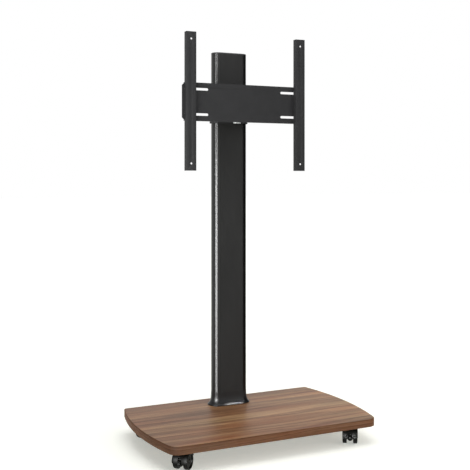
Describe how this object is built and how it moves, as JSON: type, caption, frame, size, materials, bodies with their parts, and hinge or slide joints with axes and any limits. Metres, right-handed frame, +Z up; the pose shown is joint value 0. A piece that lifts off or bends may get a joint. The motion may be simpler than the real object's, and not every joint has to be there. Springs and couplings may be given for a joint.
{
  "type": "mobile display stand",
  "caption": "Mobile stand for a flat display: wood-grain base board on twin-wheel casters, flat oval column with cable duct, sliding height collar and swivelling mounting head.",
  "frame": {"origin": "on the floor, under the middle of the base board's outline", "axes": "+Z up, +X towards the stand's right as seen from the display side, -Y towards the display side"},
  "size_m": [0.7598, 0.46, 1.329],
  "materials": {
    "board_top": "satin wood-grain laminate",
    "board_edge": "satin wood-grain edge band",
    "column": "satin black powder coat on an aluminium extrusion",
    "column_foot": "satin black",
    "black_steel": "fine-textured black powder coat",
    "zinc_steel": "bright zinc plating",
    "black_plastic": "fine-textured",
    "caster_hood": "satin moulded nylon",
    "caster_wheel": "satin moulded nylon",
    "brake_lever": "moulded nylon"
  },
  "bodies": {
    "base": {"base_board": "board_top", "edge_band": "board_edge", "under_plate": "black_steel", "column_foot": "column_foot", "column": "column", "lower_cable_grommet": "black_plastic", "upper_cable_grommet": "black_plastic", "column_cap": "black_plastic", "front_left_caster_mount": "zinc_steel", "front_right_caster_mount": "zinc_steel", "back_left_caster_mount": "zinc_steel", "back_right_caster_mount": "zinc_steel"},
    "height_carriage": {"height_collar": "black_steel", "swivel_yoke": "black_steel", "swivel_pin": "zinc_steel"},
    "clamp": {"clamp_handle": "black_plastic"},
    "display_head": {"swivel_block": "black_steel", "swivel_bracket": "black_steel", "head_plate": "black_steel", "left_arm": "black_steel", "right_arm": "black_steel"},
    "front_left_caster": {"front_left_caster_hood": "caster_hood"},
    "front_left_left_wheel": {"front_left_caster_left_wheel": "caster_wheel"},
    "front_left_right_wheel": {"front_left_caster_right_wheel": "caster_wheel"},
    "front_left_brake": {"front_left_caster_brake_lever": "brake_lever"},
    "front_right_caster": {"front_right_caster_hood": "caster_hood"},
    "front_right_left_wheel": {"front_right_caster_left_wheel": "caster_wheel"},
    "front_right_right_wheel": {"front_right_caster_right_wheel": "caster_wheel"},
    "front_right_brake": {"front_right_caster_brake_lever": "brake_lever"},
    "back_left_caster": {"back_left_caster_hood": "caster_hood"},
    "back_left_left_wheel": {"back_left_caster_left_wheel": "caster_wheel"},
    "back_left_right_wheel": {"back_left_caster_right_wheel": "caster_wheel"},
    "back_right_caster": {"back_right_caster_hood": "caster_hood"},
    "back_right_left_wheel": {"back_right_caster_left_wheel": "caster_wheel"},
    "back_right_right_wheel": {"back_right_caster_right_wheel": "caster_wheel"}
  },
  "joints": [
    {"name": "height_slide", "type": "slide", "parent": "base", "child": "height_carriage", "axis": [0, 0, 1], "range_m": [-0.15, 0.1]},
    {"name": "clamp_turn", "type": "hinge", "parent": "height_carriage", "child": "clamp", "pos_m": [0, 0.2, 1.106], "axis": [0, 1, 0], "range_deg": [0, 180]},
    {"name": "display_swivel", "type": "hinge", "parent": "height_carriage", "child": "display_head", "pos_m": [0, 0.0809, 1.106], "axis": [0, 0, 1], "range_deg": [-30, 30]},
    {"name": "front_left_caster_swivel", "type": "hinge", "parent": "base", "child": "front_left_caster", "pos_m": [-0.289, -0.168, 0.05], "axis": [0, 0, 1], "continuous": true},
    {"name": "front_left_left_roll", "type": "hinge", "parent": "front_left_caster", "child": "front_left_left_wheel", "pos_m": [-0.30195, -0.1805, 0.025], "axis": [0.6947, -0.7193, 0], "continuous": true},
    {"name": "front_left_right_roll", "type": "hinge", "parent": "front_left_caster", "child": "front_left_right_wheel", "pos_m": [-0.30195, -0.1805, 0.025], "axis": [0.6947, -0.7193, 0], "continuous": true},
    {"name": "front_left_brake_press", "type": "hinge", "parent": "front_left_caster", "child": "front_left_brake", "pos_m": [-0.31418, -0.19231, 0.033], "axis": [0.6947, -0.7193, 0], "range_deg": [0, 15]},
    {"name": "front_right_caster_swivel", "type": "hinge", "parent": "base", "child": "front_right_caster", "pos_m": [0.289, -0.168, 0.05], "axis": [0, 0, 1], "continuous": true},
    {"name": "front_right_left_roll", "type": "hinge", "parent": "front_right_caster", "child": "front_right_left_wheel", "pos_m": [0.27946, -0.18327, 0.025], "axis": [0.848, -0.5299, 0], "continuous": true},
    {"name": "front_right_right_roll", "type": "hinge", "parent": "front_right_caster", "child": "front_right_right_wheel", "pos_m": [0.27946, -0.18327, 0.025], "axis": [0.848, -0.5299, 0], "continuous": true},
    {"name": "front_right_brake_press", "type": "hinge", "parent": "front_right_caster", "child": "front_right_brake", "pos_m": [0.27045, -0.19768, 0.033], "axis": [0.848, -0.5299, 0], "range_deg": [0, 15]},
    {"name": "back_left_caster_swivel", "type": "hinge", "parent": "base", "child": "back_left_caster", "pos_m": [-0.289, 0.152, 0.05], "axis": [0, 0, 1], "continuous": true},
    {"name": "back_left_left_roll", "type": "hinge", "parent": "back_left_caster", "child": "back_left_left_wheel", "pos_m": [-0.30459, 0.143, 0.025], "axis": [0.5, -0.866, 0], "continuous": true},
    {"name": "back_left_right_roll", "type": "hinge", "parent": "back_left_caster", "child": "back_left_right_wheel", "pos_m": [-0.30459, 0.143, 0.025], "axis": [0.5, -0.866, 0], "continuous": true},
    {"name": "back_right_caster_swivel", "type": "hinge", "parent": "base", "child": "back_right_caster", "pos_m": [0.289, 0.152, 0.05], "axis": [0, 0, 1], "continuous": true},
    {"name": "back_right_left_roll", "type": "hinge", "parent": "back_right_caster", "child": "back_right_left_wheel", "pos_m": [0.27696, 0.13862, 0.025], "axis": [0.7431, -0.6691, 0], "continuous": true},
    {"name": "back_right_right_roll", "type": "hinge", "parent": "back_right_caster", "child": "back_right_right_wheel", "pos_m": [0.27696, 0.13862, 0.025], "axis": [0.7431, -0.6691, 0], "continuous": true}
  ]
}
